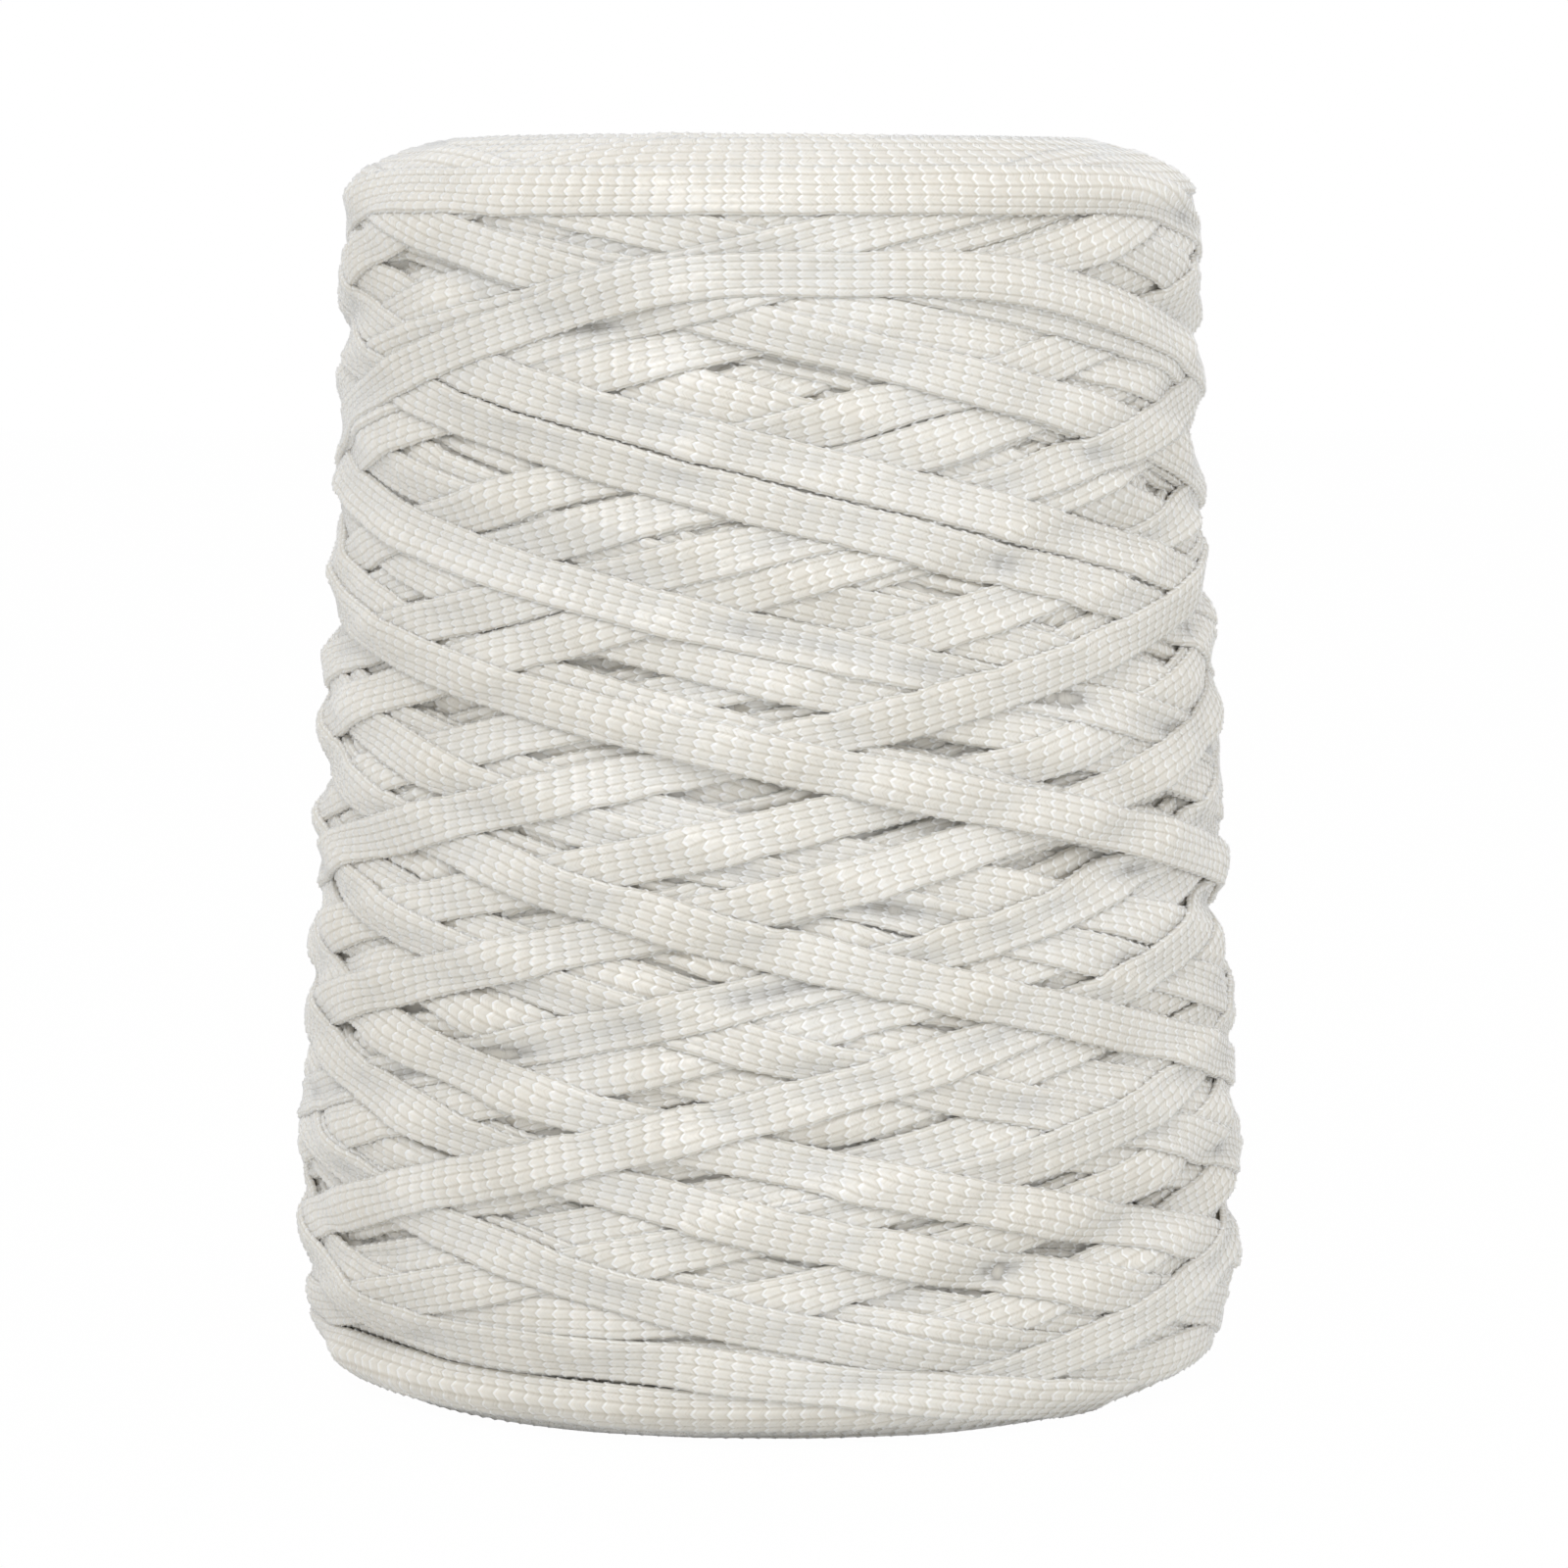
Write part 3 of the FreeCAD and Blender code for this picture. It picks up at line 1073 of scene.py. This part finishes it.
    @staticmethod
    def outline(ids: Array, start: Array, final: Array, across: list[int], rows_per: int) -> Array:
        """Corners of plain patches, each one face from edge to edge of its block.

        Args:
            ids: vertex number of each row and column, or -1.
            start: first row of each block.
            final: row after each block.
            across: the columns that the patch spans, in order.
            rows_per: rows in each block.

        Returns:
            A row of corner numbers for each patch, with -1 where there is no corner.
        """
        near = [ids[start, j] for j in reversed(across)]
        left = [ids[start + k, across[0]] for k in range(1, rows_per)]
        far = [ids[final, j] for j in across]
        right = [ids[start + k, across[-1]] for k in range(rows_per - 1, 0, -1)]
        return np.stack(near + left + far + right, 1)


def make_piece(name: str, points: Array, corners: Array, counts: Array, caps: int = 0) -> bpy.types.Object:
    """Makes a smooth-shaded object from arrays.

    Args:
        name: the piece's name.
        points: vertices in mm.
        corners: vertex numbers of every face, one face after another.
        counts: how many corners each face has.
        caps: how many of the last faces are flat ends, which the smooth shading leaves out.

    Returns:
        The new object, linked to the scene.
    """
    mesh = bpy.data.meshes.new(name)
    mesh.vertices.add(len(points))
    mesh.vertices.foreach_set("co", (points * MM).astype(np.float32).ravel())
    mesh.loops.add(len(corners))
    mesh.loops.foreach_set("vertex_index", corners.astype(np.int32))
    mesh.polygons.add(len(counts))
    mesh.polygons.foreach_set("loop_start", np.concatenate([[0], np.cumsum(counts)[:-1]]).astype(np.int32))
    mesh.polygons.foreach_set("use_smooth", np.arange(len(counts)) < len(counts) - caps)
    mesh.update(calc_edges=True)
    mesh.validate()
    piece = bpy.data.objects.new(name, mesh)
    bpy.context.scene.collection.objects.link(piece)
    return piece


@dataclass
class InnerLayers:
    """The hidden layers of the winding: a closed core under the loops that show."""

    winder: Winder
    sight: Sight
    depth: float = 0.55
    columns: int = 300
    low: float = 7.0
    high: float = 127.0
    under: float = 1.4
    gap: float = 4.0
    side_rings: int = 121
    rings: int = 34
    look: tuple[int, int] = (16, 4)
    smoothing: int = 12

    def build(self, material: bpy.types.Material) -> bpy.types.Object:
        """Builds the core from the map of the package.

        Args:
            material: the knitted cord's material.

        Returns:
            The piece, in place of the CAD's wound body.
        """
        winder = self.winder
        side = winder.blur(Sight.lowest(winder.map, 2, 2), 2.0, 2.0) - self.depth
        turn = np.arange(self.columns) * 360 / self.columns
        levels = [np.full(self.columns, z) for z in np.linspace(self.low, self.high, self.side_rings)]
        rings = [(winder.sample(turn, level, side), level) for level in levels]
        top = self.end_rings(turn, 1, rings[-1][0])
        bottom = self.end_rings(turn, -1, rings[0][0])
        rings = bottom[::-1] + rings + top
        radius = np.array([r for r, _ in rings])
        height = np.array([z for _, z in rings])
        angle = np.radians(turn)[None, :]
        points = np.stack([radius * np.sin(angle), -radius * np.cos(angle), height], -1).reshape(-1, 3)
        count = len(rings)
        row = np.arange(count)[:, None]
        after = (row + 1) % count
        here = np.arange(self.columns)[None, :]
        beside = (here + 1) % self.columns
        around = ((row, here), (row, beside), (after, beside), (after, here))
        loop = np.stack([one * self.columns + other for one, other in around], -1).reshape(-1, 4)
        piece = make_piece("inner_layers", points, loop.ravel(), np.full(len(loop), 4))
        values = np.stack([height.ravel() * 2.0, np.tile(turn * 0.8, count), np.full(height.size, 0.4)], 1)
        set_stitch(piece, values)
        piece.data.materials.append(material)
        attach(piece, "root")
        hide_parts("wound_body")
        return piece

    def end_rings(self, turn: Array, way: int, outer: Array) -> list[tuple[Array, Array]]:
        """Rings of one end face, from the outside in.

        Args:
            turn: angles of the columns, in degrees.
            way: 1 for the top and -1 for the bottom.
            outer: radius of the side where the end face meets it.

        Returns:
            Radius and height of each ring.
        """
        cells = self.sight.ends[way]
        filled = np.where(cells == EMPTY, np.nan, cells)
        low = np.full_like(cells, -EMPTY)
        for i in range(-self.look[0], self.look[0] + 1, 2):
            for j in range(-self.look[1], self.look[1] + 1):
                low = np.fmin(low, np.roll(filled, (i, j), (0, 1)))
        limit = self.high if way > 0 else -self.low
        low = np.minimum(np.where(low == -EMPTY, limit, low) - self.under, limit + 2.0)
        # nothing fills the narrow gap beside the tube
        tube = self.winder.package.tube
        low[:, : int((tube + self.gap) / self.sight.ring)] = limit - self.under
        rings = []
        for share in np.linspace(0.96, 0.0, self.rings):
            radius = tube + 0.02 + (outer - tube) * share
            cell_turn, cell_reach = self.sight.cells(turn, radius)
            rings.append((radius, low[cell_turn, cell_reach] * way))
        heights = np.array([h for _, h in rings])
        for _ in range(self.smoothing):
            heights = (np.roll(heights, 1, 1) + np.roll(heights, -1, 1) + 2 * heights) / 4
        heights[1:-1] = (heights[:-2] + heights[2:] + 2 * heights[1:-1]) / 4
        return [(r, h) for (r, _), h in zip(rings, heights)]


def set_stitch(piece: bpy.types.Object, values: Array) -> None:
    """Stores each vertex's place on its stitch, which the cord's material reads; its height sets the painted
    shade in the grooves and the painted highlight on the crowns.
    """
    layer = piece.data.attributes.new("stitch", "FLOAT_VECTOR", "POINT")
    layer.data.foreach_set("vector", values.astype(np.float32).ravel())


@dataclass
class WoundCord:
    """The one length of knitted cord, laid, fitted and knitted."""

    size: KnittedCord = field(default_factory=KnittedCord)
    package: Package = field(default_factory=Package)
    finish: KnittedPolyester = field(default_factory=KnittedPolyester)
    whole_strokes: int = 14
    most_triangles: int = 190000
    stitch_triangles: int = 40
    plain_triangles: int = 7

    def build(self) -> list[bpy.types.Object]:
        """Winds the reel and makes its pieces.

        Returns:
            The inner layers and the lengths of outer cord.
        """
        winder = Winder(self.size, self.package)
        cord = winder.fit(winder.wind())
        sight = Sight(winder, cord)
        material = self.finish.material()
        pieces = [InnerLayers(winder, sight).build(material)]
        knitter = Knitter(cord, self.size, sight.lanes_shown())
        flags = knitter.course_flags()
        strokes = int(cord.stroke[-1]) + 1
        first_step = int(np.searchsorted(cord.stroke, strokes - self.whole_strokes))
        whole_from = int(knitter.length[first_step] / self.size.course)
        middle = cord.azimuth[first_step:, winder.lanes // 2]
        LOG.info(
            "cord: %.1f m, %d strokes, %d courses, %d stitches show, whole for the last %.1f turns",
            knitter.length[-1] * MM, strokes, len(flags), flags.sum(), (middle[-1] - middle[0]) / 360,
        )
        chains = self.split(knitter.chains(flags, whole_from), flags)
        for number, group in enumerate(self.share_out(chains, flags)):
            points, stitch, corners, counts = knitter.build(group, flags)
            whole = max(g[-1] for g in group) > whole_from
            piece = make_piece(f"cord_lay_{number + 1:02d}", points, corners, counts, 2 * len(group))
            set_stitch(piece, stitch)
            piece.data.materials.append(material)
            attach(piece, "root")
            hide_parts("outer_winding" if whole else "wound_body")
            pieces.append(piece)
        return pieces

    def weight(self, stations: Array, flags: Array) -> int:
        """About how many triangles a stretch of cord will have."""
        patches = (len(stations) - 1) * (self.size.wales + 1)
        single = np.diff(stations) == 1
        fine = int(flags[np.minimum(stations[:-1], len(flags) - 1)][single].sum())
        return fine * self.stitch_triangles + (patches - fine) * self.plain_triangles

    def split(self, chains: list[Array], flags: Array) -> list[Array]:
        """Cuts long stretches where the least of them shows, so that each fits in one piece."""
        seen = np.convolve(np.append(flags.sum(1), np.zeros(4)), np.ones(5), "same")
        cut: list[Array] = []
        for stations in chains:
            rest = stations
            while self.weight(rest, flags) > self.most_triangles:
                near = int(len(rest) * self.most_triangles / self.weight(rest, flags) * 0.96)
                at = near * 3 // 4 + int(np.argmin(seen[rest[near * 3 // 4 : near]]))
                cut.append(rest[: at + 1])
                rest = rest[at:]
            cut.append(rest)
        return cut

    def share_out(self, chains: list[Array], flags: Array) -> list[list[Array]]:
        """Gathers stretches into pieces of about the same number of triangles."""
        groups: list[list[Array]] = [[]]
        load = 0
        for stations in chains:
            weight = self.weight(stations, flags)
            if load + weight > self.most_triangles and groups[-1]:
                groups.append([])
                load = 0
            groups[-1].append(stations)
            load += weight
        return groups


@dataclass
class WindingTube:
    """The cardboard tube, which keeps its CAD shape."""

    finish: SpiralBoard = field(default_factory=SpiralBoard)

    def dress(self) -> bpy.types.Object:
        """Gives the tube its board."""
        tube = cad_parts["winding_tube"]
        material = self.finish.material()
        if not tube.material_slots:
            tube.data.materials.append(material)
        for slot in tube.material_slots:
            slot.material = material
        return tube


@dataclass
class Studio:
    """Plain pale floor, soft light and the photograph's view."""

    floor_size: float = 6.0
    eye: Place = (0.0, -0.640, 0.125)
    aim: Place = (0.0, 0.0, 0.06725)
    lens: float = 133.94
    shift: Pair = (0.00875, -0.0181)
    middle: Place = (0.0, 0.0, 0.067)
    floor_glow: float = 0.985
    world_strength: float = 0.8

    def build(self) -> None:
        """Builds the floor, the world, the lamps and the camera."""
        self.floor()
        self.world()
        self.lamp("key", (-0.20, -0.80, 0.80), 0.35, 3.35)
        self.lamp("fill", (0.8, -0.6, 0.35), 0.8, 1.55)
        self.lamp("top", (0.05, 0.1, 1.1), 0.9, 0.25)
        self.camera()
        bpy.context.scene.view_settings.view_transform = "Standard"

    def floor(self) -> None:
        """Makes a floor that looks white to the camera and keeps a light shadow."""
        half = self.floor_size * 1000 / 2
        points = np.array([(-half, -half, 0.0), (half, -half, 0.0), (half, half, 0.0), (-half, half, 0.0)])
        floor = make_piece("studio_floor", points, np.arange(4), np.array([4]))
        mat = bpy.data.materials.new("matt_white_paper_floor")
        nodes = Nodes(mat)
        part = nodes.math("MULTIPLY", self.seen_directly(nodes), self.floor_glow)
        paper = nodes.add(Shading.DIFFUSE, {"Color": srgb("EDEDEB")})
        glow = nodes.add(Shading.EMISSION, {"Color": srgb("FFFFFF"), "Strength": 1.0})
        mix = nodes.add(Shading.MIX, {0: part, 1: paper.outputs[0], 2: glow.outputs[0]})
        nodes.add(Shading.OUTPUT, {0: mix.outputs[0]})
        floor.data.materials.append(mat)

    @staticmethod
    def seen_directly(nodes: Nodes) -> Any:
        """Socket that is 1 for rays from the camera, from gloss and through glass."""
        path = nodes.add(Shading.RAY).outputs
        glossy = nodes.math("MAXIMUM", path["Is Camera Ray"], path["Is Glossy Ray"])
        return nodes.math("MAXIMUM", glossy, path["Is Transmission Ray"])

    def world(self) -> None:
        """Makes a soft world that looks white to the camera."""
        world = bpy.data.worlds.new("soft_white_room")
        nodes = Nodes(world)
        bpy.context.scene.world = world
        seen = self.seen_directly(nodes)
        soft = nodes.add(Shading.BACKDROP, {0: srgb("FAF9F7"), 1: self.world_strength})
        white = nodes.add(Shading.BACKDROP, {0: srgb("FFFFFF"), 1: 1.0})
        mix = nodes.add(Shading.MIX, {0: seen, 1: soft.outputs[0], 2: white.outputs[0]})
        nodes.add(Shading.WORLD_OUTPUT, {0: mix.outputs[0]})

    @staticmethod
    def aim_at(piece: bpy.types.Object, place: Place, aim: Place) -> None:
        """Puts a lamp or a camera at its place, facing what it aims at, and links it to the scene."""
        piece.location = place
        piece.rotation_euler = (Vector(aim) - Vector(place)).to_track_quat("-Z", "Y").to_euler()
        bpy.context.scene.collection.objects.link(piece)

    def lamp(self, name: str, place: Place, size: float, power: float) -> None:
        """Hangs one soft square lamp that faces the reel.

        Args:
            name: the lamp's name.
            place: where it hangs, in metres.
            size: its side, in metres.
            power: its power, in watts.
        """
        light = bpy.data.lights.new(name, "AREA")
        light.size = size
        light.energy = power
        self.aim_at(bpy.data.objects.new(name, light), place, self.middle)

    def camera(self) -> None:
        """Sets the camera at the photograph's view."""
        data = bpy.data.cameras.new("photo_view")
        data.lens = self.lens
        data.sensor_width = 36.0
        data.shift_x, data.shift_y = self.shift
        data.clip_start = 0.01
        camera = bpy.data.objects.new("photo_view", data)
        self.aim_at(camera, self.eye, self.aim)
        bpy.context.scene.camera = camera


def main() -> None:
    """Builds the reel and its studio, and reports each piece."""
    logging.basicConfig(level=logging.INFO, format="%(name)s: %(message)s")
    tube = WindingTube().dress()
    LOG.info("%s: CAD shape, spiral board", tube.name)
    for piece in WoundCord().build():
        LOG.info("%s: %d faces", piece.name, len(piece.data.polygons))
    Studio().build()


if __name__ == "__main__":
    main()
